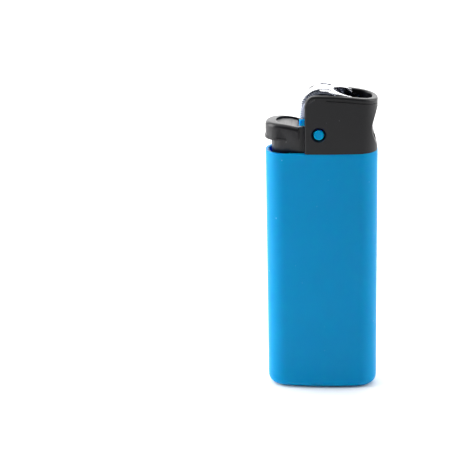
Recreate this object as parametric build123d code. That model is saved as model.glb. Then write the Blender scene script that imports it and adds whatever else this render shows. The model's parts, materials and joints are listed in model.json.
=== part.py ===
from build123d import *
import math
import os

# Pocket lighter with a flint spark wheel and a press lever.
# Millimetres. Origin: centre of the base. +X: flame end, -X: lever end, +Z: up.
# The object is the same on both broad faces (-Y and +Y), apart from the air slot.

# Clearances
FIT = 0.05              # between parts that are pressed or snapped together, and running fits
SIDE_GAP = 0.15         # beside what moves between the cheeks
HOOD_GAP = 0.145        # between the cheeks and the hood's walls

# Body section: two broad arcs, two end arcs and four corner arcs
BODY_W = 22.0           # along X
BODY_T = 9.49           # along Y
BODY_H = 49.7           # base to rim
BROAD_R = 66.5
END_R = 12.6
CORNER_R = 4.0
BASE_FILLET = 1.7
BASE_DISH = 0.35        # hollow under the base, so that it stands on its edge
BASE_FOOT = 2.75        # width of the rounded edge and the standing edge
RIM_FILLET = 0.15

# Tank shell
TANK_WALL = 1.2
BASE_WALL = 1.5
RIM_WALL = 0.65         # thin rim around the lever
RIM_SEAT = 1.05         # thicker rim that carries the hood
RIM_STEP_X = 4.7 - BODY_W / 2   # where the thin rim becomes the thick one
DECK_Z = BODY_H - 4.9   # top of the tank head's plate
DECK_T = 1.6
WEB_X = -1.8
WEB_T = 1.0
WEB_GAP = 6.0           # gas passes under the web

# Spark wheel set
AXLE_X = 0.3
AXLE_Z = BODY_H + 7.7
AXLE_R = 0.75
SPARK_R = 3.1
SPARK_W = 3.1
SPARK_TEETH = 30
SPARK_TOOTH = 0.22
THUMB_R = 4.4
THUMB_TEETH = 60
THUMB_TOOTH = 0.25
THUMB_HUB_R = 1.9
THUMB_BAND = 0.9        # width of the toothed band on a thumb wheel's face
THUMB_DISH = 0.2

# Hood
HOOD_INSET = 0.07       # the hood sits this far inside the body section
HOOD_WALL = 1.15
HOOD_REAR = -3.2
HOOD_TOP_Z = AXLE_Z + 3.92  # highest point of the hood's edge
HOOD_PEAK_X = -0.1
HOOD_BEND_X = 2.6
HOOD_BEND_Z = HOOD_TOP_Z - 0.1
HOOD_FRONT_Z = HOOD_TOP_Z - 1.37
HOOD_CORNER_R = 2.1
HOOD_EDGE_R = 0.42      # rounding of the top and rear edges
HOOD_INNER_R = 0.25
BEAD_H = 0.7            # rolled edge around the top, marked off by a shallow groove
BEAD_REAR = 1.0
BEAD_GROOVE_W = 0.35
BEAD_GROOVE_D = 0.2
TONGUE_DEPTH = 3.0
TONGUE_WALL = 0.6
TONGUE_REAR = 3.4
SCOOP_X = BODY_W / 2 - 1.3  # deepest line of the front scoop, before rounding
SCOOP_Z = BODY_H + 4.7
SCOOP_HALF = 4.3
SCOOP_SLOPE = 0.30
SCOOP_R = 4.0
SCOOP_WALL = 1.0
SCOOP_EDGE_R = 0.5
SLOT_OUTER_R = 2.72     # crescent air slot
SLOT_OUTER_Y = 0.45
SLOT_OUTER_DZ = -0.3
SLOT_INNER_R = 2.0
SLOT_INNER_Y = 0.7
SLOT_INNER_DZ = 0.1
SLOT_END_Y = 1.6
RECESS_R = 1.5          # dish around each snap boss
RECESS_DEPTH = 0.5

# Tank head: what stands between the hood's walls follows from them
CHEEK_T = 0.73
CHEEK_OUT = BODY_T / 2 - HOOD_INSET - HOOD_WALL - HOOD_GAP
CHEEK_IN = CHEEK_OUT - CHEEK_T
THUMB_W = CHEEK_IN - SIDE_GAP - SPARK_W / 2
CHEEK_REAR = -2.9
CHEEK_FRONT = 2.9
CHEEK_SHELF = AXLE_Z - 1.1      # height of the cheek behind the wheel
CHEEK_SHOULDER = AXLE_Z - 2.5   # and in front of it
CHEEK_ABOVE_AXLE = 1.5
BOSS_X = -0.45          # snap boss that holds the hood
BOSS_Z = BODY_H + 3.9
BOSS_R = 0.93
BOSS_PROUD = 0.02       # boss face past the hood's side face
BOSS_GAP = 0.16
PLUG_DEPTH = 2.6
PLUG_WALL = 1.1

# Flint, its spring and its tube
FLINT_R = 1.2
FLINT_L = 4.6
FLINT_GAP = 0.06        # flint face to the spark wheel's lowest tip
FLINT_TOP = AXLE_Z - SPARK_R - FLINT_GAP
FLINT_TUBE_R = FLINT_R + FIT + 0.47
FLINT_TUBE_FLOOR = 1.2
FLINT_TUBE_BOTTOM = BODY_H - 17.7
TUBE_FLAT_GAP = 0.08    # flats on the tube clear the thumb wheels
WEB_TOP = FLINT_TUBE_BOTTOM - 3.0
SPRING_WIRE = 0.3
FLINT_SPRING_TURNS = 11

# Flame shield with its wheel guard
SHEET = 0.3
GUARD_R = THUMB_R + 0.35
GUARD_W = 3.1
GUARD_FRONT_DEG = 75.0
GUARD_REAR_DEG = 158.0
GUARD_RAIL_DEG = 97.0   # thin rails outside the thumb wheels end here
GUARD_RAIL_W = 0.3
SHIELD_TIP_X = 5.9
OPENING_R = 3.0
OPENING_X = 5.25
SKIRT_REAR = 3.1
SKIRT_FRONT = 7.4
SKIRT_LOW = BODY_H + 4.3
SKIRT_FRONT_Z = HOOD_FRONT_Z - 0.35
WHEEL_SLOT_FRONT = 1.9
SLOT_CLEAR = 0.14

# Lever
PIVOT_X = -1.5
PIVOT_Z = BODY_H - 1.4
TRUNNION_R = 0.7
TRUNNION_L = 0.5
PAD_SIDE_INSET = 0.45
PAD_FRONT = AXLE_X - THUMB_R - 0.3
PAD_TOP = BODY_H + 5.85
PAD_LOW = PAD_TOP - 3.3
PAD_CROWN_X = PAD_FRONT - 5.1   # the top is part of a cylinder along Y, highest here
PAD_CROWN_R = 18.5
PAD_EDGE_R = 0.8
PAD_LIP = 0.12
PAD_LIP_H = 0.4
PAD_LIP_FRONT = PAD_FRONT - 2.5
PAD_DISH_HALF = 3.1
PAD_DISH_TIP = 2.1 - BODY_W / 2
PAD_DISH_DEPTH = 0.35
NECK_INSET = 1.2
NECK_WALL = 0.9
NECK_LOW = BODY_H - 3.3
NECK_FRONT = PAD_FRONT - 0.1
NECK_SIDE_FRONT = HOOD_REAR - FIT   # the neck's side walls reach further forward
NECK_SIDE_TOP = PAD_TOP - 0.7
CHEEK_TAB_REAR = PAD_FRONT + SIDE_GAP   # small tab on each cheek, above those walls
CHEEK_TAB_LOW = NECK_SIDE_TOP + 0.25
ARM_OUT = CHEEK_IN - SIDE_GAP
ARM_IN = ARM_OUT - 0.65
ARM_LOW = NECK_LOW + 0.5
ARM_TOP = BODY_H + 0.3
FORK_LOW = ARM_TOP - 0.8
FORK_REACH = 1.1
FORK_GAP = 0.25

# Valve, on the nozzle's axis
VALVE_X = 6.2
NOZZLE_R = 0.9
NOZZLE_TOP = BODY_H + 2.5
NOZZLE_BORE = 0.3
COLLAR_R = NOZZLE_R + 0.55
COLLAR_T = 0.8
LASH = 0.2              # fork to collar, at rest
CHAMBER_R = NOZZLE_R + 0.6
STEM_RING_H = 0.6       # seal ring around the nozzle, under the chamber's roof
PISTON_R = CHAMBER_R - 0.2
PISTON_T = 0.6
SEAL_R = PISTON_R - 0.1
SEAL_T = 0.6
VALVE_SPRING_TURNS = 4
HOUSING_R = CHAMBER_R + 0.5
HOUSING_FLANGE_R = HOUSING_R + 0.5
SOCKET_R = HOUSING_R + 0.9
SOCKET_TOP = DECK_Z + 1.2
SOCKET_BOTTOM = DECK_Z - 9.2
HOUSING_TOP = SOCKET_TOP + 0.6
HOUSING_BOTTOM = HOUSING_TOP - 8.6
SEAT_T = 2.0
SEAT_Z = HOUSING_BOTTOM + SEAT_T
INLET_R = 0.5
CHAMBER_TOP = HOUSING_TOP - 3.0
GROOVE_Z = HOUSING_TOP - 2.2
GROOVE_W = 0.6
GROOVE_D = 0.44
MEMBRANE_R = HOUSING_R - 0.3
MEMBRANE_T = 0.8
RETAINER_T = 1.2
WICK_R = 0.7
WICK_END = BASE_DISH + BASE_WALL + 1.55


def body_section(inset, side_inset=None):
    """Plan outline of the body, moved inwards by inset (and side_inset along Y)."""
    if side_inset is None:
        side_inset = inset
    half_x = BODY_W / 2 - inset
    half_y = BODY_T / 2 - side_inset
    broad_r = BROAD_R - side_inset
    end_r = END_R - inset
    corner_r = CORNER_R - max(inset, side_inset)
    broad_y = half_y - broad_r
    end_x = half_x - end_r
    reach = math.hypot(end_x, broad_y)
    along = (reach ** 2 + end_r ** 2 - broad_r ** 2) / (2 * reach)
    across = math.sqrt(end_r ** 2 - along ** 2)
    corner_x = end_x - (along * end_x + across * broad_y) / reach
    corner_y = (along * broad_y - across * end_x) / reach
    top = ThreePointArc((-corner_x, corner_y), (0, half_y), (corner_x, corner_y))
    front = ThreePointArc((corner_x, corner_y), (half_x, 0), (corner_x, -corner_y))
    low = ThreePointArc((corner_x, -corner_y), (0, -half_y), (-corner_x, -corner_y))
    rear = ThreePointArc((-corner_x, -corner_y), (-half_x, 0), (-corner_x, corner_y))
    face = make_face([top, front, low, rear])
    return fillet(face.vertices(), corner_r)


def prism(section, low, high):
    return Pos(0, 0, low) * extrude(section, high - low)


def block(x0, x1, y0, y1, z0, z1):
    box = Box(x1 - x0, y1 - y0, z1 - z0, align=(Align.MIN, Align.MIN, Align.MIN))
    return Pos(x0, y0, z0) * box


def rod_z(x, radius, low, high):
    return Pos(x, 0, low) * Cylinder(radius, high - low, align=(Align.CENTER, Align.CENTER, Align.MIN))


def rod_y(x, z, radius, y0, y1):
    rod = Cylinder(radius, y1 - y0, align=(Align.CENTER, Align.CENTER, Align.MIN))
    return Pos(x, y0, z) * Rot(X=-90) * rod


def side_plate(face, y0, y1):
    """A face drawn in X and Z, made solid from y0 to y1."""
    return Pos(0, y1, 0) * extrude(Plane.XZ * face, y1 - y0)


def both_sides(solid):
    return solid + mirror(solid, Plane.XZ)


def along_outline(edges, inset, low, high):
    """The edges that run along the body section moved inwards by inset, between two heights."""
    outline = body_section(inset).wire()
    found = []
    for edge in edges:
        points = [edge @ 0, edge @ 0.5, edge @ 1]
        near = all(outline.distance_to(Vector(p.X, p.Y, 0)) < 0.01 for p in points)
        if near and all(low < p.Z < high for p in points):
            found.append(edge)
    return found


def save(name, solid):
    solid.label = name
    export_step(solid, f"parts/{name}.step")


def coil(x, z0, z1, radius, turns):
    """Round wire spring about a vertical line, with its wire between z0 and z1."""
    wire_r = SPRING_WIRE / 2
    height = z1 - z0 - SPRING_WIRE
    path = Helix(pitch=height / turns, height=height, radius=radius)
    start = Plane(origin=path @ 0, z_dir=path % 0)
    wire = sweep(start * Circle(wire_r), path, is_frenet=True)
    return Pos(x, 0, z0 + wire_r) * wire


# ---- Tank ----

def make_tank_shell():
    shell = prism(body_section(0), 0, BODY_H)
    bottom = shell.edges().group_by(Axis.Z)[0]
    shell = fillet(bottom, BASE_FILLET)
    shell -= prism(body_section(BASE_FOOT), 0, BASE_DISH)
    ledge = DECK_Z - DECK_T
    shell -= prism(body_section(TANK_WALL), BASE_DISH + BASE_WALL, ledge)
    shell -= prism(body_section(RIM_SEAT), ledge, BODY_H)
    thin_rim = prism(body_section(RIM_WALL), DECK_Z, BODY_H)
    shell -= thin_rim & block(-BODY_W, RIM_STEP_X, -BODY_T, BODY_T, 0, BODY_H)
    web = prism(body_section(TANK_WALL), BASE_DISH + BASE_WALL + WEB_GAP, WEB_TOP)
    shell += web & block(WEB_X - WEB_T / 2, WEB_X + WEB_T / 2, -BODY_T, BODY_T, 0, BODY_H)
    rim_edges = shell.edges().filter_by_position(Axis.Z, BODY_H - 0.01, BODY_H + 0.01)
    return fillet(rim_edges, RIM_FILLET)


def cheek_face():
    top = AXLE_Z + CHEEK_ABOVE_AXLE
    outline = Polyline(
        (CHEEK_REAR, DECK_Z - FIT), (CHEEK_REAR, CHEEK_TAB_LOW), (CHEEK_TAB_REAR, CHEEK_TAB_LOW),
        (CHEEK_TAB_REAR, CHEEK_SHELF), (CHEEK_REAR, CHEEK_SHELF), (AXLE_X - 2.2, top),
        (AXLE_X + 1.6, top), (CHEEK_FRONT, CHEEK_SHOULDER), (CHEEK_FRONT, DECK_Z - FIT), close=True)
    return make_face(outline)


def make_tank_head():
    plate = prism(body_section(RIM_SEAT), DECK_Z - DECK_T, DECK_Z)
    skirt = prism(body_section(TANK_WALL), DECK_Z - DECK_T - PLUG_DEPTH, DECK_Z - DECK_T)
    skirt -= prism(body_section(TANK_WALL + PLUG_WALL), 0, DECK_Z - DECK_T)
    cheek = side_plate(cheek_face(), CHEEK_IN, CHEEK_OUT)
    boss_face = BODY_T / 2 - HOOD_INSET + BOSS_PROUD
    cheek += rod_y(BOSS_X, BOSS_Z, BOSS_R, CHEEK_OUT - FIT, boss_face)
    cheek -= rod_y(PIVOT_X, PIVOT_Z, TRUNNION_R + FIT, 0, CHEEK_IN + TRUNNION_L + FIT)
    cheek -= rod_y(AXLE_X, AXLE_Z, AXLE_R + FIT, 0, BODY_T)
    entry = AXLE_R * 0.85
    cheek -= block(AXLE_X - entry, AXLE_X + entry, 0, BODY_T, AXLE_Z, AXLE_Z + BODY_T)
    head = plate + skirt + both_sides(cheek)
    tube_top = AXLE_Z - SPARK_R - 0.4
    head += rod_z(AXLE_X, FLINT_TUBE_R, FLINT_TUBE_BOTTOM, tube_top)
    head += rod_z(VALVE_X, SOCKET_R, SOCKET_BOTTOM, SOCKET_TOP)
    flat = SPARK_W / 2 - TUBE_FLAT_GAP
    head -= both_sides(block(AXLE_X - 2, AXLE_X + 2, flat, CHEEK_IN, AXLE_Z - THUMB_R - 0.3, tube_top + 1))
    head -= rod_z(AXLE_X, FLINT_R + FIT, FLINT_TUBE_BOTTOM + FLINT_TUBE_FLOOR, BODY_H * 2)
    head -= rod_z(VALVE_X, HOUSING_R, SOCKET_BOTTOM, BODY_H * 2)
    return head


# ---- Spark wheel set and flint ----

def toothed_disc(radius, depth, teeth, half_width):
    """Wheel with pointed teeth around it, about the axle line."""
    step = 2 * math.pi / teeth
    points = []
    for index in range(teeth):
        tip = index * step
        points.append((radius * math.cos(tip), radius * math.sin(tip)))
        root = tip + step / 2
        points.append(((radius - depth) * math.cos(root), (radius - depth) * math.sin(root)))
    face = Pos(AXLE_X, AXLE_Z) * make_face(Polyline(*points, close=True))
    return side_plate(face, -half_width, half_width)


def make_spark_wheel():
    wheel = toothed_disc(SPARK_R, SPARK_TOOTH, SPARK_TEETH, SPARK_W / 2)
    return wheel - rod_y(AXLE_X, AXLE_Z, AXLE_R, -SPARK_W, SPARK_W)


def make_thumb_wheel(side):
    wheel = toothed_disc(THUMB_R, THUMB_TOOTH, THUMB_TEETH, THUMB_W / 2)
    dish = rod_y(AXLE_X, AXLE_Z, THUMB_R - THUMB_BAND, THUMB_W / 2 - THUMB_DISH, THUMB_W)
    dish -= rod_y(AXLE_X, AXLE_Z, THUMB_HUB_R, -THUMB_W, THUMB_W * 2)
    wheel -= dish
    wheel -= rod_y(AXLE_X, AXLE_Z, AXLE_R, -THUMB_W, THUMB_W)
    wheel = Pos(0, SPARK_W / 2 + THUMB_W / 2, 0) * wheel
    return wheel if side > 0 else mirror(wheel, Plane.XZ)


def make_wheel_axle():
    half = CHEEK_OUT - FIT
    axle = rod_y(AXLE_X, AXLE_Z, AXLE_R, -half, half)
    return chamfer(axle.edges().filter_by(GeomType.CIRCLE), 0.12)


def make_flint():
    return rod_z(AXLE_X, FLINT_R, FLINT_TOP - FLINT_L, FLINT_TOP)


def make_flint_spring():
    low = FLINT_TUBE_BOTTOM + FLINT_TUBE_FLOOR
    radius = FLINT_R - SPRING_WIRE / 2 - FIT
    return coil(AXLE_X, low, FLINT_TOP - FLINT_L, radius, FLINT_SPRING_TURNS)


# ---- Hood ----

def hood_profile(drop=0.0):
    """Side view of the hood: upright rear edge, rounded corner and falling top edge."""
    front = BODY_W / 2 + 1
    rise = ThreePointArc((HOOD_REAR, HOOD_BEND_Z - drop), (HOOD_PEAK_X, HOOD_TOP_Z - drop),
                         (HOOD_BEND_X, HOOD_BEND_Z - drop))
    fall = TangentArc((HOOD_BEND_X, HOOD_BEND_Z - drop), (front, HOOD_FRONT_Z - drop), tangent=rise % 1)
    low = BODY_H - drop
    rest = Polyline((front, HOOD_FRONT_Z - drop), (front, low), (HOOD_REAR, low),
                    (HOOD_REAR, HOOD_BEND_Z - drop))
    face = make_face([rise, fall, rest])
    corner = face.vertices().sort_by_distance((HOOD_REAR, HOOD_BEND_Z - drop))[0]
    return fillet(corner, HOOD_CORNER_R)


def scoop_face(back=0.0):
    """The V of the front scoop, rounded at its deepest line."""
    reach = SCOOP_SLOPE * SCOOP_HALF * 2
    outline = Polyline((SCOOP_X - back, SCOOP_Z), (SCOOP_X - back + reach, SCOOP_Z + SCOOP_HALF * 2),
                       (SCOOP_X - back + reach, SCOOP_Z - SCOOP_HALF * 2), close=True)
    face = make_face(outline)
    apex = face.vertices().sort_by(Axis.X)[0]
    return fillet(apex, SCOOP_R + back)


def hood_blank():
    """The hood before it is hollowed, with its edges rounded and its front scooped out."""
    wide = BODY_T
    blank = prism(body_section(HOOD_INSET), BODY_H, HOOD_TOP_Z + 1) & side_plate(hood_profile(), -wide, wide)
    top_low = HOOD_FRONT_Z - 0.3
    soft = along_outline(blank.edges(), HOOD_INSET, top_low, HOOD_TOP_Z + 1)
    rear = [edge for edge in blank.edges() if edge.center().X < HOOD_REAR + HOOD_CORNER_R / 2
            and abs(edge.center().Y) > 1 and edge.center().Z > BODY_H + 1]
    soft += [edge for edge in rear if edge not in soft]
    blank = fillet(soft, HOOD_EDGE_R)
    blank -= side_plate(scoop_face(), -wide, wide)
    scoop_edges = along_outline(blank.edges(), HOOD_INSET, BODY_H + 0.1, HOOD_FRONT_Z)
    scoop_edges = [edge for edge in scoop_edges if edge.center().X > SCOOP_X - 0.5]
    return fillet(scoop_edges, SCOOP_EDGE_R)


def bead_groove():
    wide = BODY_T
    ring = prism(body_section(HOOD_INSET - 0.2), BODY_H, HOOD_TOP_Z)
    ring -= prism(body_section(HOOD_INSET + BEAD_GROOVE_D), BODY_H, HOOD_TOP_Z)
    ring &= side_plate(hood_profile(BEAD_H), -wide, wide)
    ring -= side_plate(hood_profile(BEAD_H + BEAD_GROOVE_W), -wide, wide)
    return ring & block(BEAD_REAR, BODY_W, -wide, wide, BODY_H + 3, BODY_H * 2)


def boss_recess():
    face_y = BODY_T / 2 - HOOD_INSET
    hole = rod_y(BOSS_X, BOSS_Z, BOSS_R + BOSS_GAP, 0, BODY_T)
    cone = Cone(BOSS_R + BOSS_GAP, RECESS_R, RECESS_DEPTH, align=(Align.CENTER, Align.CENTER, Align.MIN))
    hole += Pos(BOSS_X, face_y - RECESS_DEPTH, BOSS_Z) * Rot(X=-90) * cone
    return hole + rod_y(BOSS_X, BOSS_Z, RECESS_R, face_y, BODY_T)


def make_hood():
    wide = BODY_T
    hood = hood_blank()
    inner = prism(body_section(HOOD_INSET + HOOD_WALL), BODY_H, HOOD_TOP_Z + 1)
    inner -= side_plate(scoop_face(SCOOP_WALL), -wide, wide)
    hood -= inner
    inner_edges = along_outline(hood.edges(), HOOD_INSET + HOOD_WALL, HOOD_FRONT_Z - 0.3, HOOD_TOP_Z + 1)
    hood = fillet(inner_edges, HOOD_INNER_R)
    tongue_inset = RIM_SEAT + FIT
    tongue = prism(body_section(tongue_inset), BODY_H - TONGUE_DEPTH, BODY_H + FIT)
    tongue -= prism(body_section(tongue_inset + TONGUE_WALL), 0, HOOD_TOP_Z)
    hood += tongue & block(TONGUE_REAR, BODY_W, -wide, wide, 0, HOOD_TOP_Z)
    return hood - bead_groove() - both_sides(boss_recess()) - crescent_slot()


def crescent_slot():
    outer = Pos(SLOT_OUTER_Y, SCOOP_Z + SLOT_OUTER_DZ) * Circle(SLOT_OUTER_R)
    inner = Pos(SLOT_INNER_Y, SCOOP_Z + SLOT_INNER_DZ) * Circle(SLOT_INNER_R)
    keep = Pos(SLOT_END_Y - BODY_T / 2, SCOOP_Z) * Rectangle(BODY_T, BODY_T)
    crescent = (outer - inner) & keep
    return Pos(BODY_W / 2 - 4, 0, 0) * extrude(Plane.YZ * crescent, 6)


# ---- Flame shield ----

def shield_line():
    """Top line of the shield: the guard's arc, then the sloping plate."""
    front = math.radians(GUARD_FRONT_DEG)
    start = (AXLE_X + GUARD_R * math.cos(front), AXLE_Z + GUARD_R * math.sin(front))
    return start, -1 / math.tan(front)


def wheel_ring(front_deg, rear_deg, y0, y1):
    """A strip of the guard's arc, between two angles about the axle."""
    front = math.radians(front_deg)
    rear = math.radians(rear_deg)
    far = 3 * GUARD_R
    wedge = make_face(Polyline(
        (0, 0), (far * math.cos(front), far * math.sin(front)), (0, far),
        (far * math.cos(rear), far * math.sin(rear)), close=True))
    ring = (Circle(GUARD_R) - Circle(GUARD_R - SHEET)) & wedge
    return side_plate(Pos(AXLE_X, AXLE_Z) * ring, y0, y1)


def make_flame_shield():
    (start_x, start_z), slope = shield_line()
    wide = BODY_T
    tip_z = start_z + slope * (SHIELD_TIP_X - start_x)
    tilt = math.radians(GUARD_FRONT_DEG)
    inner_x = start_x - SHEET * math.cos(tilt)
    inner_z = start_z - SHEET * math.sin(tilt)
    tip_low = inner_z + slope * (SHIELD_TIP_X - inner_x)
    plate_face = make_face(Polyline(
        (start_x, start_z), (SHIELD_TIP_X, tip_z), (SHIELD_TIP_X, tip_low),
        (inner_x, inner_z), close=True))
    shield = side_plate(plate_face, -wide, wide)
    margin = SPARK_W / 2 + THUMB_W + SLOT_CLEAR
    shield -= both_sides(block(-BODY_W, WHEEL_SLOT_FRONT, GUARD_W / 2, margin, 0, BODY_H * 2))
    shield += wheel_ring(GUARD_FRONT_DEG, GUARD_REAR_DEG, -GUARD_W / 2, GUARD_W / 2)
    shield += both_sides(wheel_ring(GUARD_FRONT_DEG, GUARD_RAIL_DEG, margin, margin + GUARD_RAIL_W))
    opening = Pos(OPENING_X, 0) * Circle(OPENING_R)
    opening += Pos(OPENING_X + 5, 0) * Rectangle(10, OPENING_R * 2)
    shield -= Pos(0, 0, BODY_H) * extrude(opening, BODY_H)
    fit_inset = HOOD_INSET + HOOD_WALL + FIT
    shield &= prism(body_section(fit_inset), BODY_H, BODY_H * 2)
    skirt_rear_z = start_z + slope * (SKIRT_REAR - start_x) - SHEET / 2
    skirt_face = make_face(Polyline(
        (SKIRT_REAR, skirt_rear_z), (SHIELD_TIP_X, tip_z - SHEET / 2), (SHIELD_TIP_X, SKIRT_FRONT_Z + 0.4),
        (SKIRT_FRONT, SKIRT_FRONT_Z), (SKIRT_FRONT, SKIRT_LOW), (SKIRT_REAR, SKIRT_LOW), close=True))
    skirt = prism(body_section(fit_inset), BODY_H, BODY_H * 2)
    skirt -= prism(body_section(fit_inset + SHEET), BODY_H, BODY_H * 2)
    return shield + (skirt & side_plate(skirt_face, -wide, wide))


# ---- Lever ----

def make_lever():
    wide = BODY_T
    pad = prism(body_section(0, PAD_SIDE_INSET), PAD_LOW, PAD_TOP)
    crown = rod_y(PAD_CROWN_X, PAD_TOP - PAD_CROWN_R, PAD_CROWN_R, -wide, wide)
    pad &= crown
    pad &= block(-BODY_W, PAD_FRONT, -wide, wide, 0, BODY_H * 2)
    top = pad.faces().sort_by(Axis.Z)[-1]
    round_edges = [edge for edge in top.edges() if edge.center().X < PAD_FRONT - FIT]
    pad = fillet(round_edges, PAD_EDGE_R)
    lip = prism(body_section(-PAD_LIP, PAD_SIDE_INSET - PAD_LIP), PAD_LOW, PAD_LOW + PAD_LIP_H)
    lip &= block(-BODY_W, PAD_LIP_FRONT, -wide, wide, 0, BODY_H * 2)
    dish = make_face([
        ThreePointArc((PAD_FRONT, PAD_DISH_HALF), (PAD_DISH_TIP, 0), (PAD_FRONT, -PAD_DISH_HALF)),
        Line((PAD_FRONT, -PAD_DISH_HALF), (PAD_FRONT, PAD_DISH_HALF))])
    pad -= prism(dish, PAD_LOW, PAD_TOP + 1) - Pos(0, 0, -PAD_DISH_DEPTH) * crown
    neck = prism(body_section(NECK_INSET), NECK_LOW, PAD_LOW + FIT)
    neck &= block(-BODY_W, NECK_FRONT, -wide, wide, 0, BODY_H * 2)
    hollow = prism(body_section(NECK_INSET + NECK_WALL), NECK_LOW, PAD_LOW - 1)
    hollow &= block(-BODY_W, NECK_FRONT - NECK_WALL, -wide, wide, 0, BODY_H * 2)
    neck -= hollow
    side_walls = prism(body_section(NECK_INSET), ARM_LOW, NECK_SIDE_TOP)
    side_walls &= block(NECK_FRONT - FIT, NECK_SIDE_FRONT, -wide, wide, 0, BODY_H * 2)
    side_walls -= block(-BODY_W, BODY_W, -ARM_OUT, ARM_OUT, 0, BODY_H * 2)
    fork_front = VALVE_X + FORK_REACH
    arm_face = make_face(Polyline(
        (NECK_FRONT - FIT, ARM_LOW), (PIVOT_X + 1.5, ARM_LOW), (VALVE_X - 2.6, FORK_LOW),
        (fork_front, FORK_LOW), (fork_front, ARM_TOP), (NECK_FRONT - FIT, ARM_TOP), close=True))
    arm = side_plate(arm_face, ARM_IN, ARM_OUT)
    arm += rod_y(PIVOT_X, PIVOT_Z, TRUNNION_R, ARM_OUT - FIT, CHEEK_IN + TRUNNION_L)
    tine_in = NOZZLE_R + FORK_GAP
    arm += block(VALVE_X - 2.2, fork_front, tine_in, ARM_OUT, FORK_LOW, ARM_TOP)
    lever = pad + lip + neck + side_walls + both_sides(arm)
    bridge = block(VALVE_X - 3.2, VALVE_X - NOZZLE_R - FORK_GAP - 0.2, -ARM_OUT, ARM_OUT, FORK_LOW, ARM_TOP)
    return lever + bridge


# ---- Valve ----

def make_valve_housing():
    housing = rod_z(VALVE_X, HOUSING_R, HOUSING_BOTTOM, HOUSING_TOP)
    housing += rod_z(VALVE_X, HOUSING_FLANGE_R, SOCKET_TOP, HOUSING_TOP)
    housing -= rod_z(VALVE_X, INLET_R, 0, HOUSING_TOP)
    housing -= rod_z(VALVE_X, CHAMBER_R, HOUSING_BOTTOM + SEAT_T, CHAMBER_TOP)
    housing -= rod_z(VALVE_X, NOZZLE_R + FIT, CHAMBER_TOP, HOUSING_TOP)
    groove = rod_z(VALVE_X, HOUSING_R + 1, GROOVE_Z, GROOVE_Z + GROOVE_W)
    groove -= rod_z(VALVE_X, HOUSING_R - GROOVE_D, 0, HOUSING_TOP)
    return housing - groove


def make_o_ring():
    radius = GROOVE_D / 2
    return Pos(VALVE_X, 0, GROOVE_Z + GROOVE_W / 2) * Torus(HOUSING_R - radius, radius)


def make_valve_seal():
    return rod_z(VALVE_X, SEAL_R, SEAT_Z, SEAT_Z + SEAL_T)


def make_nozzle():
    low = SEAT_Z + SEAL_T
    nozzle = rod_z(VALVE_X, NOZZLE_R, low, NOZZLE_TOP)
    nozzle += rod_z(VALVE_X, PISTON_R, low, low + PISTON_T)
    collar_z = ARM_TOP + LASH
    collar = rod_z(VALVE_X, COLLAR_R, collar_z, collar_z + COLLAR_T)
    nozzle += chamfer(collar.edges().filter_by(GeomType.CIRCLE).sort_by(Axis.Z)[-1], 0.25)
    nozzle -= rod_z(VALVE_X, NOZZLE_BORE, low + PISTON_T + 0.8, NOZZLE_TOP)
    port = rod_y(VALVE_X, low + PISTON_T + 1.1, NOZZLE_BORE, -NOZZLE_R * 2, NOZZLE_R * 2)
    return nozzle - port


def make_valve_spring():
    low = SEAT_Z + SEAL_T + PISTON_T
    radius = (NOZZLE_R + CHAMBER_R) / 2
    return coil(VALVE_X, low, CHAMBER_TOP - STEM_RING_H, radius, VALVE_SPRING_TURNS)


def make_stem_o_ring():
    radius = (CHAMBER_R - NOZZLE_R) / 2
    return Pos(VALVE_X, 0, CHAMBER_TOP - STEM_RING_H / 2) * Torus(NOZZLE_R + radius, radius)


def make_gas_membrane():
    return rod_z(VALVE_X, MEMBRANE_R, HOUSING_BOTTOM - MEMBRANE_T, HOUSING_BOTTOM)


def make_membrane_retainer():
    low = HOUSING_BOTTOM - MEMBRANE_T - RETAINER_T
    cup = rod_z(VALVE_X, HOUSING_R, low, HOUSING_BOTTOM)
    cup -= rod_z(VALVE_X, MEMBRANE_R, HOUSING_BOTTOM - MEMBRANE_T, HOUSING_BOTTOM)
    return cup - rod_z(VALVE_X, WICK_R, 0, HOUSING_BOTTOM)


def make_wick():
    top = HOUSING_BOTTOM - MEMBRANE_T
    return rod_z(VALVE_X, WICK_R, WICK_END, top)


os.makedirs("parts", exist_ok=True)
save("tank_shell", make_tank_shell())
save("tank_head", make_tank_head())
save("hood", make_hood())
save("flame_shield", make_flame_shield())
save("spark_wheel", make_spark_wheel())
save("thumb_wheel_near", make_thumb_wheel(-1))
save("thumb_wheel_far", make_thumb_wheel(1))
save("wheel_axle", make_wheel_axle())
save("flint", make_flint())
save("flint_spring", make_flint_spring())
save("lever", make_lever())
save("valve_housing", make_valve_housing())
save("housing_o_ring", make_o_ring())
save("stem_o_ring", make_stem_o_ring())
save("nozzle", make_nozzle())
save("valve_seal", make_valve_seal())
save("valve_spring", make_valve_spring())
save("gas_membrane", make_gas_membrane())
save("membrane_retainer", make_membrane_retainer())
save("gas_wick", make_wick())
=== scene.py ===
import json
import math
import bmesh
import bpy
from mathutils import Matrix, Vector

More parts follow.
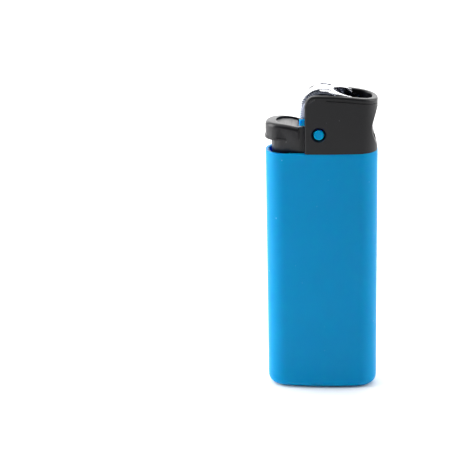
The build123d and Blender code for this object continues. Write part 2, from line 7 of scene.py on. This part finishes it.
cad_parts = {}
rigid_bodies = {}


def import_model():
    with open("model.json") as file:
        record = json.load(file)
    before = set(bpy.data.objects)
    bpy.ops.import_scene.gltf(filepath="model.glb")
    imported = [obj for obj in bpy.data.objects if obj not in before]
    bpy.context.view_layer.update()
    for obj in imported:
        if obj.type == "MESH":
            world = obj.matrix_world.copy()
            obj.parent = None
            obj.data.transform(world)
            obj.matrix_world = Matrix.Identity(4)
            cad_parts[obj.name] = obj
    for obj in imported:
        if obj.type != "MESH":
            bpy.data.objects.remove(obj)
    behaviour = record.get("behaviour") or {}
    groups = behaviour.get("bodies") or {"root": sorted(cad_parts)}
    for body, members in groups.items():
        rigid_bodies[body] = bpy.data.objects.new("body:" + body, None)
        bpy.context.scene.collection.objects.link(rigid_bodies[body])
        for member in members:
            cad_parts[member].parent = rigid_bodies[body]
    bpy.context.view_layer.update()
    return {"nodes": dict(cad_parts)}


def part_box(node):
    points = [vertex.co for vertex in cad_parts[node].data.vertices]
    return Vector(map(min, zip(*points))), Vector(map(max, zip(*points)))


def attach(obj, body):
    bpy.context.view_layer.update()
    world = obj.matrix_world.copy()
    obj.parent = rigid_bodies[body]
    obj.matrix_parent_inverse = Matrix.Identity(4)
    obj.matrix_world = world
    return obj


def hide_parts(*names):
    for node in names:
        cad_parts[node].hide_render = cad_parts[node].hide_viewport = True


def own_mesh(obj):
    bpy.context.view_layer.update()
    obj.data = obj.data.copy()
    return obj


# a pocket lighter with a flint wheel, standing on a pale table
for leftover in list(bpy.data.objects):
    bpy.data.objects.remove(leftover)

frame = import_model()
nodes = frame["nodes"]
scene = bpy.context.scene
mm = 0.001
quarterTurn = math.radians(90)
print("frame loaded:", len(nodes), "parts")


# helpers

def linear(hexCode):
    # sRGB hex to the linear colour that shaders work in
    values = []
    for start in (0, 2, 4):
        value = int(hexCode[start:start + 2], 16) / 255
        values.append(value / 12.92 if value <= 0.04045 else ((value + 0.055) / 1.055) ** 2.4)
    return (*values, 1.0)


def addNode(tree, kind, settings, links=()):
    # settings go to the node's own options, or to its input of that name
    # links are (input, node, output)
    node = tree.nodes.new(kind)
    for name, value in settings.items():
        if isinstance(name, str) and hasattr(node, name):
            setattr(node, name, value)
        else:
            node.inputs[name].default_value = value
    for socket, source, output in links:
        tree.links.new(source.outputs[output], node.inputs[socket])
    return node


def newMaterial(name):
    material = bpy.data.materials.new(name)
    material.use_nodes = True
    material.node_tree.nodes.clear()
    return material, material.node_tree


def finishMaterial(tree, shader):
    addNode(tree, "ShaderNodeOutputMaterial", {}, [("Surface", shader, "BSDF")])


# how many layers of ever finer noise each pattern has
noiseDetail = {"cloud": 3.0, "dust": 1.0, "grain": 2.0, "marks": 3.0, "solid": 4.0}
speckSoftness = 0.03     # how gradually a speck of dust fades at its edge


# moulded plastics

def mouldedPlastic(name, look):
    # injection moulded: satin skin with a very fine grain, faint cloudiness where the melt flowed
    material, tree = newMaterial(name)
    place = addNode(tree, "ShaderNodeTexCoord", {})
    cloud = addNode(tree, "ShaderNodeTexNoise",
                    {"Scale": 1 / (look["cloudSize"] * mm), "Detail": noiseDetail["cloud"]},
                    [("Vector", place, "Object")])
    tint = addNode(tree, "ShaderNodeMix",
                   {"data_type": "RGBA", 6: linear(look["colour"]), 7: linear(look["cloudColour"])},
                   [(0, cloud, "Fac")])
    dust = addNode(tree, "ShaderNodeTexNoise",
                   {"Scale": 1 / (look["speckSpacing"] * mm), "Detail": noiseDetail["dust"]},
                   [("Vector", place, "Object")])
    fleck = addNode(tree, "ShaderNodeMapRange",
                    {"From Min": look["speckCut"], "From Max": look["speckCut"] + speckSoftness,
                     "To Max": look["speckAmount"]},
                    [("Value", dust, "Fac")])
    colour = addNode(tree, "ShaderNodeMix", {"data_type": "RGBA", 7: linear(look["speckColour"])},
                     [(0, fleck, "Result"), (6, tint, 2)])
    wear = addNode(tree, "ShaderNodeMapRange",
                   {"To Min": look["roughness"] - look["roughSpread"],
                    "To Max": look["roughness"] + look["roughSpread"]},
                   [("Value", cloud, "Fac")])
    grain = addNode(tree, "ShaderNodeTexNoise",
                    {"Scale": 1 / (look["grainSize"] * mm), "Detail": noiseDetail["grain"]},
                    [("Vector", place, "Object")])
    bump = addNode(tree, "ShaderNodeBump",
                   {"Strength": look["grainStrength"], "Distance": look["grainDepth"] * mm},
                   [("Height", grain, "Fac")])
    shader = addNode(tree, "ShaderNodeBsdfPrincipled",
                     {"IOR": look["ior"], "Specular IOR Level": look["specular"],
                      "Subsurface Weight": look["glow"], "Subsurface Radius": look["glowReach"],
                      "Subsurface Scale": 1 * mm},
                     [("Base Color", colour, 2), ("Roughness", wear, "Result"),
                      ("Normal", bump, "Normal")])
    finishMaterial(tree, shader)
    return material


# acetal, blue and satin: light gets a little way into it, which softens its shading
blueAcetalLook = {
    "colour": "0086BA", "cloudColour": "008CC1", "cloudSize": 9.0,
    "speckColour": "7CC4EC", "speckSpacing": 0.9, "speckCut": 0.79, "speckAmount": 0.5,
    "roughness": 0.42, "roughSpread": 0.04,
    "grainSize": 0.12, "grainDepth": 0.006, "grainStrength": 0.35,
    "ior": 1.48, "specular": 0.1, "glow": 1.0, "glowReach": (0.1, 0.9, 1.6),
}

# glass-filled nylon, black: takes the flame's heat; its sides come satin from the mould
blackNylonLook = {
    "colour": "09090C", "cloudColour": "0D0D11", "cloudSize": 5.0,
    "speckColour": "8A8A90", "speckSpacing": 0.7, "speckCut": 0.80, "speckAmount": 0.35,
    "roughness": 0.36, "roughSpread": 0.05,
    "grainSize": 0.10, "grainDepth": 0.008, "grainStrength": 0.45,
    "ior": 1.52, "specular": 0.26, "glow": 0.0, "glowReach": (0.1, 0.1, 0.1),
}

# black ABS lever, polished a little by thumbs
blackAbsLook = {
    "colour": "0C0C10", "cloudColour": "101015", "cloudSize": 4.0,
    "speckColour": "9A9AA0", "speckSpacing": 0.6, "speckCut": 0.79, "speckAmount": 0.4,
    "roughness": 0.34, "roughSpread": 0.05,
    "grainSize": 0.14, "grainDepth": 0.006, "grainStrength": 0.4,
    "ior": 1.53, "specular": 0.34, "glow": 0.0, "glowReach": (0.1, 0.1, 0.1),
}


# metals

def metal(name, look):
    # a metal's colour, with fine marks along one direction, as drawing or turning leaves them
    material, tree = newMaterial(name)
    place = addNode(tree, "ShaderNodeTexCoord", {})
    stretch = addNode(tree, "ShaderNodeMapping", {"Scale": look["markScale"]},
                      [("Vector", place, "Object")])
    marks = addNode(tree, "ShaderNodeTexNoise",
                    {"Scale": 1 / (look["markSize"] * mm), "Detail": noiseDetail["marks"]},
                    [("Vector", stretch, "Vector")])
    tint = addNode(tree, "ShaderNodeMix",
                   {"data_type": "RGBA", 6: linear(look["darkColour"]), 7: linear(look["colour"])},
                   [(0, marks, "Fac")])
    if "shadeColour" in look:
        # painted shade: what hangs below the top plate, towards the front, is tinted dark blue
        parts = addNode(tree, "ShaderNodeSeparateXYZ", {}, [("Vector", place, "Object")])
        shadeBelow = addNode(tree, "ShaderNodeMapRange",
                       {"From Min": look["shadeFull"] * mm, "From Max": look["shadeEnd"] * mm,
                        "To Min": 1.0, "To Max": 0.0},
                       [("Value", parts, "Z")])
        ahead = addNode(tree, "ShaderNodeMapRange",
                        {"From Min": look["shadeRear"] * mm, "From Max": look["shadeFront"] * mm},
                        [("Value", parts, "X")])
        both = addNode(tree, "ShaderNodeMath", {"operation": "MULTIPLY"},
                       [(0, shadeBelow, "Result"), (1, ahead, "Result")])
        tint = addNode(tree, "ShaderNodeMix", {"data_type": "RGBA", 7: linear(look["shadeColour"])},
                       [(0, both, "Value"), (6, tint, 2)])
    polish = addNode(tree, "ShaderNodeMapRange",
                     {"To Min": look["roughness"] - look["roughSpread"],
                      "To Max": look["roughness"] + look["roughSpread"]},
                     [("Value", marks, "Fac")])
    bump = addNode(tree, "ShaderNodeBump",
                   {"Strength": look["markStrength"], "Distance": look["markDepth"] * mm},
                   [("Height", marks, "Fac")])
    shader = addNode(tree, "ShaderNodeBsdfPrincipled", {"Metallic": 1.0},
                     [("Base Color", tint, 2), ("Roughness", polish, "Result"),
                      ("Normal", bump, "Normal")])
    finishMaterial(tree, shader)
    return material


nickelSheetLook = {      # bright nickel on pressed sheet: nearly a mirror, faintly marked
    "colour": "F4F5F8", "darkColour": "E4E6EC", "roughness": 0.16, "roughSpread": 0.05,
    "markSize": 0.3, "markScale": (1, 6, 6), "markDepth": 0.002, "markStrength": 0.3,
    # the last keys paint a dark blue shade on the sheet below the top plate, towards the front
    "shadeColour": "27364C", "shadeFull": 59.7, "shadeEnd": 60.5, "shadeRear": 1.0, "shadeFront": 2.4,
}
wheelSteelLook = {       # hardened steel, knurled and zinc plated: blue-grey, soft glints
    "colour": "A2A7B6", "darkColour": "70768A", "roughness": 0.3, "roughSpread": 0.08,
    "markSize": 0.15, "markScale": (1, 1, 1), "markDepth": 0.004, "markStrength": 0.4,
}
axleSteelLook = {        # turned steel rod: pale grey with fine rings
    "colour": "C9CBD1", "darkColour": "A8ABB3", "roughness": 0.28, "roughSpread": 0.06,
    "markSize": 0.1, "markScale": (1, 8, 1), "markDepth": 0.003, "markStrength": 0.4,
}
springSteelLook = {      # drawn wire: grey and smooth
    "colour": "BFC2C8", "darkColour": "9EA2AA", "roughness": 0.32, "roughSpread": 0.05,
    "markSize": 0.1, "markScale": (1, 1, 1), "markDepth": 0.002, "markStrength": 0.3,
}
turnedAluminiumLook = {  # turned aluminium: pale and satin, with fine rings
    "colour": "D5D6D8", "darkColour": "BDBFC2", "roughness": 0.3, "roughSpread": 0.06,
    "markSize": 0.12, "markScale": (1, 1, 10), "markDepth": 0.003, "markStrength": 0.4,
}
turnedBrassLook = {      # turned brass: warm yellow, with fine rings
    "colour": "E0BE72", "darkColour": "C9A55A", "roughness": 0.26, "roughSpread": 0.06,
    "markSize": 0.12, "markScale": (1, 1, 10), "markDepth": 0.003, "markStrength": 0.4,
}


def mattSolid(name, look):
    # rubber, pressed fibre and flint: no shine, a grain that is part of the material
    material, tree = newMaterial(name)
    place = addNode(tree, "ShaderNodeTexCoord", {})
    grain = addNode(tree, "ShaderNodeTexNoise",
                    {"Scale": 1 / (look["grainSize"] * mm), "Detail": noiseDetail["solid"]},
                    [("Vector", place, "Object")])
    tint = addNode(tree, "ShaderNodeMix",
                   {"data_type": "RGBA", 6: linear(look["darkColour"]), 7: linear(look["colour"])},
                   [(0, grain, "Fac")])
    bump = addNode(tree, "ShaderNodeBump",
                   {"Strength": look["grainStrength"], "Distance": look["grainDepth"] * mm},
                   [("Height", grain, "Fac")])
    shader = addNode(tree, "ShaderNodeBsdfPrincipled", {"Roughness": look["roughness"]},
                     [("Base Color", tint, 2), ("Normal", bump, "Normal")])
    finishMaterial(tree, shader)
    return material


# the flint is dark and gritty, the rubber black and dull, the foam and the wick off-white
ferroceriumLook = {"colour": "54545A", "darkColour": "38383D", "roughness": 0.7,
                   "grainSize": 0.15, "grainDepth": 0.02, "grainStrength": 0.5}
nitrileLook = {"colour": "1A1A1B", "darkColour": "111112", "roughness": 0.6,
               "grainSize": 0.1, "grainDepth": 0.01, "grainStrength": 0.5}
foamLook = {"colour": "E8E6DC", "darkColour": "C9C6B8", "roughness": 0.9,
            "grainSize": 0.08, "grainDepth": 0.03, "grainStrength": 0.5}
wickLook = {"colour": "F0EEE6", "darkColour": "D2CFC2", "roughness": 0.9,
            "grainSize": 0.1, "grainDepth": 0.03, "grainStrength": 0.5}

# the same nylon on the grip ribs, smoother and shiny; its paler colour is a painted highlight, so
# the ribs glint
glintRibNylonLook = {**blackNylonLook, "colour": "2A2A30", "roughness": 0.16, "specular": 0.8}

blueAcetal = mouldedPlastic("moulded blue acetal", blueAcetalLook)
blackNylon = mouldedPlastic("moulded black nylon", blackNylonLook)
# the ribs' nylon: low roughness, and a paler colour that paints their highlight
glintRibNylon = mouldedPlastic("black nylon paled for glint", glintRibNylonLook)
blackAbs = mouldedPlastic("moulded black ABS", blackAbsLook)
nickelSheet = metal("nickel plated sheet", nickelSheetLook)
wheelSteel = metal("knurled steel", wheelSteelLook)
axleSteel = metal("turned steel", axleSteelLook)
springSteel = metal("drawn spring steel", springSteelLook)
turnedAluminium = metal("turned aluminium", turnedAluminiumLook)
turnedBrass = metal("turned brass", turnedBrassLook)
ferrocerium = mattSolid("pressed ferrocerium", ferroceriumLook)
nitrile = mattSolid("moulded nitrile rubber", nitrileLook)
foam = mattSolid("pressed foam", foamLook)
wickFibre = mattSolid("bundled wick fibre", wickLook)

# parts that keep the frame's mesh
nodeFinish = {
    "tank_shell": blueAcetal, "tank_head": blueAcetal, "hood": blackNylon,
    "wheel_axle": axleSteel, "flint": ferrocerium,
    "valve_housing": turnedAluminium, "membrane_retainer": turnedAluminium, "nozzle": turnedBrass,
    "housing_o_ring": nitrile, "stem_o_ring": nitrile, "valve_seal": nitrile,
    "gas_membrane": foam, "gas_wick": wickFibre,
}
for nodeName, finish in nodeFinish.items():
    for slot in nodes[nodeName].material_slots:
        slot.material = finish
print("materials ready")


# pieces made here

def newPiece(name, mesh, body, slotName, *nodeNames):
    # a finished piece: it rides on its body and stands for its parts
    piece = bpy.data.objects.new(name, mesh)
    scene.collection.objects.link(piece)
    if nodeNames:
        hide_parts(*nodeNames)
    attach(piece, body)
    return piece


def plainMesh(holder, name):
    # the holder's modifiers made real, and the holder removed
    view = bpy.context.evaluated_depsgraph_get()
    mesh = bpy.data.meshes.new_from_object(holder.evaluated_get(view))
    mesh.name = name
    bpy.data.objects.remove(holder)
    return mesh


def startTree(name, inputKinds):
    # a Geometry Nodes tree with named inputs, its inputs' identifiers and its input node
    tree = bpy.data.node_groups.new(name, "GeometryNodeTree")
    inputs = {}
    for label, kind in inputKinds.items():
        socket = tree.interface.new_socket(label, in_out="INPUT", socket_type="NodeSocket" + kind)
        inputs[label] = socket.identifier
    tree.interface.new_socket("Result", in_out="OUTPUT", socket_type="NodeSocketGeometry")
    return tree, inputs, addNode(tree, "NodeGroupInput", {})


def endTree(tree, given, shape):
    # every tree ends with its instances made real and its finish set
    real = addNode(tree, "GeometryNodeRealizeInstances", {}, [("Geometry", shape, "Geometry")])
    finish = addNode(tree, "GeometryNodeSetMaterial", {},
                     [("Geometry", real, "Geometry"), ("Material", given, "Finish")])
    addNode(tree, "NodeGroupOutput", {}, [("Result", finish, "Geometry")])


def grow(name, tree, inputs, values, startMesh=None):
    # what a tree makes of these values, as a plain mesh
    holder = bpy.data.objects.new(name + "Holder", startMesh or bpy.data.meshes.new(name))
    scene.collection.objects.link(holder)
    maker = holder.modifiers.new("maker", "NODES")
    maker.node_group = tree
    for label, value in values.items():
        maker[inputs[label]] = value
    return plainMesh(holder, name)


# parts whose pressed or moulded edges are broken by a small bevel

brokenEdges = {
    "flame_shield": {"piece": "flameShield", "slot": "shield_sheet", "finish": nickelSheet,
                     "body": "body", "bevel": 0.07, "sharp": 30},
    "lever": {"piece": "pressLever", "slot": "black_lever", "finish": blackAbs,
              "body": "lever", "bevel": 0.10, "sharp": 28},
}
mergeDistance = 0.0005   # mm, between corners that are one corner
flatAngle = 1            # degrees, between faces that are one face
bevelSteps = 3


def breakEdges(nodeName, look):
    mesh = nodes[nodeName].data.copy()
    edit = bmesh.new()
    edit.from_mesh(mesh)
    bmesh.ops.remove_doubles(edit, verts=edit.verts, dist=mergeDistance * mm)
    bmesh.ops.dissolve_limit(edit, angle_limit=math.radians(flatAngle),
                             verts=edit.verts, edges=edit.edges)
    edit.to_mesh(mesh)
    edit.free()
    mesh.materials.clear()
    mesh.materials.append(look["finish"])
    mesh.shade_smooth()
    holder = bpy.data.objects.new(nodeName + "Holder", mesh)
    scene.collection.objects.link(holder)
    bevel = holder.modifiers.new("edges", "BEVEL")
    bevel.width = look["bevel"] * mm
    bevel.segments = bevelSteps
    bevel.limit_method = "ANGLE"
    bevel.angle_limit = math.radians(look["sharp"])
    bevel.harden_normals = True
    newPiece(look["piece"], plainMesh(holder, look["piece"]), look["body"], look["slot"], nodeName)


for nodeName, look in brokenEdges.items():
    breakEdges(nodeName, look)
print("shield and lever ready")


# toothed wheels: a turned core, and teeth repeated around it

toothSides = 3
thumbWheelLook = {
    "toothDepth": 0.30, "toothSize": 0.27, "teeth": 60, "lean": 0, "inset": 0.04,
    "band": 0.75, "hub": 1.9, "dish": 0.2, "bore": 0.75, "edge": 0.12, "around": 120,
}
sparkWheelLook = {
    "toothDepth": 0.26, "toothSize": 0.25, "teeth": 36, "lean": 14, "inset": 0.06,
    "band": 0.6, "hub": 1.5, "dish": 0.15, "bore": 0.75, "edge": 0.08, "around": 108,
}
toothedWheels = {
    "thumb_wheel_near": {"piece": "nearThumbWheel", "look": thumbWheelLook},
    "thumb_wheel_far": {"piece": "farThumbWheel", "look": thumbWheelLook},
    "spark_wheel": {"piece": "sparkWheel", "look": sparkWheelLook},
}


def turnedCore(look, radius, width):
    # the wheel without its teeth, about the Z axis: toothed band, dished face and hub
    core = radius - look["toothDepth"]
    band = core - look["band"]
    half = width / 2
    floor = half - look["dish"]
    soft = look["edge"]
    outline = [(look["bore"], half), (look["hub"], half), (look["hub"] + soft, floor),
               (band - soft, floor), (band, half), (core - soft, half), (core, half - soft)]
    outline += [(across, -up) for across, up in reversed(outline)]
    edit = bmesh.new()
    rings = []
    for step in range(look["around"]):
        turn = 2 * math.pi * step / look["around"]
        rings.append([edit.verts.new((across * math.cos(turn) * mm, across * math.sin(turn) * mm,
                                      up * mm)) for across, up in outline])
    for step, ring in enumerate(rings):
        after = rings[(step + 1) % len(rings)]
        for corner in range(len(outline)):
            further = (corner + 1) % len(outline)
            edit.faces.new((ring[corner], ring[further], after[further], after[corner]))
    bmesh.ops.recalc_face_normals(edit, faces=edit.faces)
    mesh = bpy.data.meshes.new("wheelCore")
    edit.to_mesh(mesh)
    edit.free()
    return mesh


def toothTree():
    # three-sided teeth around a core, then the wheel laid along Y on its axle
    tree, inputs, given = startTree("toothedWheel", {
        "Core": "Geometry", "Teeth": "Int", "Radius": "Float", "Tooth Size": "Float",
        "Width": "Float", "Lean": "Vector", "Axle": "Vector", "Finish": "Material"})
    inner = addNode(tree, "ShaderNodeMath", {"operation": "SUBTRACT"},
                    [(0, given, "Radius"), (1, given, "Tooth Size")])
    circle = addNode(tree, "GeometryNodeMeshCircle", {},
                     [("Vertices", given, "Teeth"), ("Radius", inner, "Value")])
    place = addNode(tree, "GeometryNodeInputPosition", {})
    outwards = addNode(tree, "FunctionNodeAlignRotationToVector", {"axis": "X"},
                       [("Vector", place, "Position")])
    tooth = addNode(tree, "GeometryNodeMeshCylinder", {"Vertices": toothSides},
                    [("Radius", given, "Tooth Size"), ("Depth", given, "Width")])
    spread = addNode(tree, "GeometryNodeInstanceOnPoints", {},
                     [("Points", circle, "Mesh"), ("Instance", tooth, "Mesh"),
                      ("Rotation", outwards, "Rotation")])
    leaning = addNode(tree, "GeometryNodeRotateInstances", {},
                      [("Instances", spread, "Instances"), ("Rotation", given, "Lean")])
    whole = addNode(tree, "GeometryNodeJoinGeometry", {},
                    [("Geometry", given, "Core"), ("Geometry", leaning, "Instances")])
    laid = addNode(tree, "GeometryNodeTransform", {"Rotation": (quarterTurn, 0, 0)},
                   [("Geometry", whole, "Geometry"), ("Translation", given, "Axle")])
    endTree(tree, given, laid)
    return tree, inputs


def addToothedWheel(nodeName, pieceName, look, tree, inputs):
    low, high = (Vector(corner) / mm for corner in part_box(nodeName))
    radius = (high.x - low.x) / 2
    width = high.y - low.y
    mesh = grow(pieceName, tree, inputs, {
        "Teeth": look["teeth"], "Radius": radius * mm, "Tooth Size": look["toothSize"] * mm,
        "Width": (width - look["inset"] * 2) * mm, "Lean": (math.radians(look["lean"]), 0, 0),
        "Axle": tuple((low + high) / 2 * mm), "Finish": wheelSteel,
    }, turnedCore(look, radius, width))
    newPiece(pieceName, mesh, "wheel_set", "wheel_steel", nodeName)


wheelTree, wheelInputs = toothTree()
for nodeName, wheel in toothedWheels.items():
    addToothedWheel(nodeName, wheel["piece"], wheel["look"], wheelTree, wheelInputs)
print("wheels ready")


# grip ribs that wrap the hood's rear corners

gripRibs = {"count": 9, "rear": -3.2, "corner": 2.1, "edge": 0.6, "side": 4.62, "top": 61.25,
            "first": 96, "sweep": 70, "thick": 0.11, "proud": 0.1,
            "arcSteps": 48, "ribSegments": 20, "ribRings": 12}


def ribTree():
    # ribs spread along an arc, stood upright, then set on both sides of the hood
    tree, inputs, given = startTree("gripRibs", {
        "Ribs": "Int", "Arc Radius": "Float", "First": "Float", "Sweep": "Float",
        "Rib Shape": "Vector", "Near Side": "Vector", "Far Side": "Vector", "Finish": "Material"})
    arc = addNode(tree, "GeometryNodeCurveArc",
                  {"mode": "RADIUS", "Resolution": gripRibs["arcSteps"]},
                  [("Radius", given, "Arc Radius"), ("Start Angle", given, "First"),
                   ("Sweep Angle", given, "Sweep")])
    points = addNode(tree, "GeometryNodeCurveToPoints", {"mode": "COUNT"},
                     [("Curve", arc, "Curve"), ("Count", given, "Ribs")])
    ball = addNode(tree, "GeometryNodeMeshUVSphere",
                   {"Segments": gripRibs["ribSegments"], "Rings": gripRibs["ribRings"],
                    "Radius": 1.0})
    rib = addNode(tree, "GeometryNodeTransform", {},
                  [("Geometry", ball, "Mesh"), ("Scale", given, "Rib Shape")])
    spread = addNode(tree, "GeometryNodeInstanceOnPoints", {},
                     [("Points", points, "Points"), ("Instance", rib, "Geometry"),
                      ("Rotation", points, "Rotation")])
    sides = []
    for side in ("Near Side", "Far Side"):
        sides.append(addNode(tree, "GeometryNodeTransform", {"Rotation": (quarterTurn, 0, 0)},
                             [("Geometry", spread, "Instances"), ("Translation", given, side)]))
    both = addNode(tree, "GeometryNodeJoinGeometry", {},
                   [("Geometry", side, "Geometry") for side in sides])
    endTree(tree, given, both)
    return tree, inputs


def addGripRibs(look):
    tree, inputs = ribTree()
    reach = (look["edge"] + look["proud"]) * mm
    middle = look["side"] - look["edge"]
    across = look["rear"] + look["corner"]
    up = look["top"] - look["corner"]
    mesh = grow("gripRibs", tree, inputs, {
        "Ribs": look["count"], "Arc Radius": (look["corner"] - look["edge"]) * mm,
        "First": math.radians(look["first"]), "Sweep": math.radians(look["sweep"]),
        "Rib Shape": (reach, reach, look["thick"] * mm),
        "Near Side": (across * mm, -middle * mm, up * mm),
        "Far Side": (across * mm, middle * mm, up * mm), "Finish": glintRibNylon})
    mesh.shade_smooth()
    newPiece("gripRibs", mesh, "body", "black_hood")


addGripRibs(gripRibs)
print("grip ribs ready")


# coil springs, wound in place of the frame's spring parts

coilSprings = {
    "valve_spring": {"piece": "valveCoil", "turns": 4, "joint": "nozzle_lift", "held": "high"},
    "flint_spring": {"piece": "flintCoil", "turns": 11, "joint": "flint_feed", "held": "low"},
}
springWire = {"thickness": 0.3, "stepsPerTurn": 28, "wireSides": 8}


def coilTree():
    # round wire wound about a vertical line
    tree, inputs, given = startTree("coilSpring", {
        "Turns": "Float", "Coil Radius": "Float", "Coil Height": "Float",
        "Wire Radius": "Float", "Foot": "Vector", "Finish": "Material"})
    wound = addNode(tree, "GeometryNodeCurveSpiral", {"Resolution": springWire["stepsPerTurn"]},
                    [("Rotations", given, "Turns"), ("Start Radius", given, "Coil Radius"),
                     ("End Radius", given, "Coil Radius"), ("Height", given, "Coil Height")])
    section = addNode(tree, "GeometryNodeCurvePrimitiveCircle",
                      {"Resolution": springWire["wireSides"]}, [("Radius", given, "Wire Radius")])
    wire = addNode(tree, "GeometryNodeCurveToMesh", {"Fill Caps": True},
                   [("Curve", wound, "Curve"), ("Profile Curve", section, "Curve")])
    stood = addNode(tree, "GeometryNodeTransform", {},
                    [("Geometry", wire, "Mesh"), ("Translation", given, "Foot")])
    endTree(tree, given, stood)
    return tree, inputs


def addCoil(nodeName, look, tree, inputs):
    low, high = (Vector(corner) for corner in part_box(nodeName))
    middle = (low + high) / 2
    wire = springWire["thickness"] * mm / 2
    mesh = grow(look["piece"], tree, inputs, {
        "Turns": float(look["turns"]), "Coil Radius": (high.x - low.x) / 2 - wire,
        "Coil Height": high.z - low.z - wire * 2, "Wire Radius": wire,
        "Foot": (middle.x, middle.y, low.z + wire), "Finish": springSteel})
    mesh.shade_smooth()
    piece = newPiece(look["piece"], mesh, "body", "spring_steel", nodeName)
    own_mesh(piece)


springTree, springInputs = coilTree()
for nodeName, look in coilSprings.items():
    addCoil(nodeName, look, springTree, springInputs)
print("springs ready")


# camera, light and table

# angles in degrees, places in mm
cameraView = {"azimuth": 1.235, "elevation": 20.652, "distance": 339.4, "middle": 24.86,
              "aim": (-19.40, 0.0, 33.56), "roll": -1.341, "lens": 134.6, "sensor": 36, "near": 10}


def placeCamera(view):
    azimuth = math.radians(view["azimuth"])
    elevation = math.radians(view["elevation"])
    out = Vector((math.sin(azimuth) * math.cos(elevation),
                  -math.cos(azimuth) * math.cos(elevation), math.sin(elevation)))
    spot = Vector((0, 0, view["middle"])) + out * view["distance"]
    back = (spot - Vector(view["aim"])).normalized()
    right = Vector((0, 0, 1)).cross(back).normalized()
    turn = Matrix((right, back.cross(right), back)).transposed()
    turn = turn @ Matrix.Rotation(math.radians(view["roll"]), 3, "Z")
    data = bpy.data.cameras.new("camera")
    data.lens = view["lens"]
    data.sensor_width = view["sensor"]
    data.clip_start = view["near"] * mm
    camera = bpy.data.objects.new("camera", data)
    camera.matrix_world = Matrix.Translation(spot * mm) @ turn.to_4x4()
    scene.collection.objects.link(camera)
    scene.camera = camera


placeCamera(cameraView)

# place, size and power of each softbox, in metres and watts; all face the same spot
softboxes = {
    "top": {"place": (-0.10, 0.15, 0.75), "size": (0.9, 0.9), "power": 3.5},
    "back": {"place": (0.0, 0.85, 0.40), "size": (1.4, 0.7), "power": 6.5},
    "left": {"place": (-0.65, 0.0, 0.30), "size": (0.6, 0.7), "power": 8.0},
    "right": {"place": (0.65, 0.10, 0.25), "size": (0.5, 0.6), "power": 3.5},
}
softboxAim = Vector((0, 0, 0.03))


def addSoftbox(name, box):
    data = bpy.data.lights.new(name, "AREA")
    data.shape = "RECTANGLE"
    data.size, data.size_y = box["size"]
    data.energy = box["power"]
    lamp = bpy.data.objects.new(name, data)
    spot = Vector(box["place"])
    facing = (spot - softboxAim).to_track_quat("Z", "Y").to_matrix().to_4x4()
    lamp.matrix_world = Matrix.Translation(spot) @ facing
    scene.collection.objects.link(lamp)


for boxName, softbox in softboxes.items():
    addSoftbox(boxName, softbox)

# the studio's air is bright behind and beside the lighter, and dim in front of it
# airFront and airBack say where it changes, along Y from -1 to 1; tableHalf is in metres
studio = {"frontAir": 0.12, "backAir": 0.8, "airFront": -0.9, "airBack": 0.3,
          "table": "F4F4F4", "tableRoughness": 0.8, "tableHalf": 2.0}


def lightStudio():
    world = bpy.data.worlds.new("studio")
    world.use_nodes = True
    tree = world.node_tree
    place = addNode(tree, "ShaderNodeTexCoord", {})
    parts = addNode(tree, "ShaderNodeSeparateXYZ", {}, [("Vector", place, "Generated")])
    depth = addNode(tree, "ShaderNodeMapRange",
                    {"From Min": studio["airFront"], "From Max": studio["airBack"],
                     "To Min": studio["frontAir"], "To Max": studio["backAir"]},
                    [("Value", parts, "Y")])
    background = tree.nodes["Background"]
    background.inputs["Color"].default_value = (1, 1, 1, 1)
    tree.links.new(depth.outputs["Result"], background.inputs["Strength"])
    scene.world = world
    scene.view_settings.view_transform = "Standard"


lightStudio()

tableMesh = bpy.data.meshes.new("table")
half = studio["tableHalf"]
tableCorners = [(-half, -half, 0), (half, -half, 0), (half, half, 0), (-half, half, 0)]
tableMesh.from_pydata(tableCorners, [], [(0, 1, 2, 3)])
table = bpy.data.objects.new("table", tableMesh)
scene.collection.objects.link(table)
tablePaint, tableTree = newMaterial("matt table")
tableShader = addNode(tableTree, "ShaderNodeBsdfPrincipled",
                      {"Base Color": linear(studio["table"]),
                       "Roughness": studio["tableRoughness"]})
finishMaterial(tableTree, tableShader)
tableMesh.materials.append(tablePaint)
print("studio ready")
